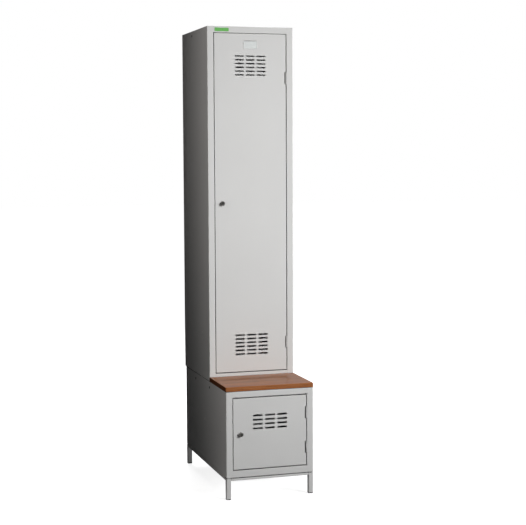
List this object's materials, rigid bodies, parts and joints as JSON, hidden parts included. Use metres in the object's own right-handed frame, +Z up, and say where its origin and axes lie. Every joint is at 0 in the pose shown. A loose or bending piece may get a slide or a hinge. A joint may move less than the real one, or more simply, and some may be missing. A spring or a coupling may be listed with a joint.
{
  "type": "locker with bench",
  "caption": "Tall sheet-steel garment locker standing on a deeper base box with its own door, with a timber bench seat in front and a square-tube stand.",
  "frame": {"origin": "on the floor, under the middle of the bounding box", "axes": "+Z up, -Y out of the doors, +X to the right seen from the front (hinge side)"},
  "size_m": [0.384, 0.728, 1.9753],
  "materials": {
    "paint": "light grey powder coat, fine texture, satin",
    "timber": "red-brown hardwood, varnished",
    "plastic": "black moulded plastic",
    "lock": "dark nickel",
    "zinc": "zinc plated",
    "rubber": "black rubber",
    "card": "plain card",
    "clear": "pale plastic"
  },
  "bodies": {
    "cabinet": {"stand_leg_front_left": "paint", "stand_leg_front_right": "paint", "stand_leg_back_left": "paint", "stand_leg_back_right": "paint", "foot_cap_front_left": "plastic", "foot_cap_front_right": "plastic", "foot_cap_back_left": "plastic", "foot_cap_back_right": "plastic", "stand_rail_front": "paint", "stand_rail_back": "paint", "stand_rail_left": "paint", "stand_rail_right": "paint", "base_left_side": "paint", "base_right_side": "paint", "base_top": "paint", "base_floor": "paint", "base_back": "paint", "base_buffer_bottom": "rubber", "base_buffer_top": "rubber", "base_hinge_top_stile_leaf": "paint", "base_hinge_top_pin": "zinc", "base_hinge_bottom_stile_leaf": "paint", "base_hinge_bottom_pin": "zinc", "tall_left_side": "paint", "tall_right_side": "paint", "tall_top": "paint", "tall_floor": "paint", "tall_back": "paint", "tall_buffer_bottom": "rubber", "tall_buffer_top": "rubber", "tall_hinge_top_stile_leaf": "paint", "tall_hinge_top_pin": "zinc", "tall_hinge_bottom_stile_leaf": "paint", "tall_hinge_bottom_pin": "zinc", "hat_shelf": "paint", "coat_rail": "zinc", "coat_rail_socket_left": "zinc", "coat_rail_socket_right": "zinc", "seat_board": "timber"},
    "tall_door_swing": {"tall_door": "paint", "tall_door_stiffener": "paint", "tall_hinge_top_door_leaf": "paint", "tall_hinge_bottom_door_leaf": "paint", "tall_lock_barrel": "lock", "tall_lock_nut": "zinc", "tall_card_holder": "clear", "tall_name_card": "card"},
    "tall_lock_core": {"tall_lock_plug": "lock", "tall_lock_cam": "zinc", "tall_lock_cam_screw": "zinc"},
    "base_door_swing": {"base_door": "paint", "base_hinge_top_door_leaf": "paint", "base_hinge_bottom_door_leaf": "paint", "base_lock_barrel": "lock", "base_lock_nut": "zinc"},
    "base_lock_core": {"base_lock_plug": "lock", "base_lock_cam": "zinc", "base_lock_cam_screw": "zinc"}
  },
  "joints": [
    {"name": "tall_door_hinge", "type": "hinge", "parent": "cabinet", "child": "tall_door_swing", "pos_m": [0.1602, -0.08455, 1.2186], "axis": [0, 0, 1], "range_deg": [0, 110]},
    {"name": "tall_lock_turn", "type": "hinge", "parent": "tall_door_swing", "child": "tall_lock_core", "pos_m": [-0.1275, -0.08605, 1.2243], "axis": [0, 1, 0], "range_deg": [0, 90]},
    {"name": "base_door_hinge", "type": "hinge", "parent": "cabinet", "child": "base_door_swing", "pos_m": [0.1602, -0.34955, 0.2757], "axis": [0, 0, 1], "range_deg": [0, 110]},
    {"name": "base_lock_turn", "type": "hinge", "parent": "base_door_swing", "child": "base_lock_core", "pos_m": [-0.1275, -0.35105, 0.275], "axis": [0, 1, 0], "range_deg": [0, 90]}
  ]
}
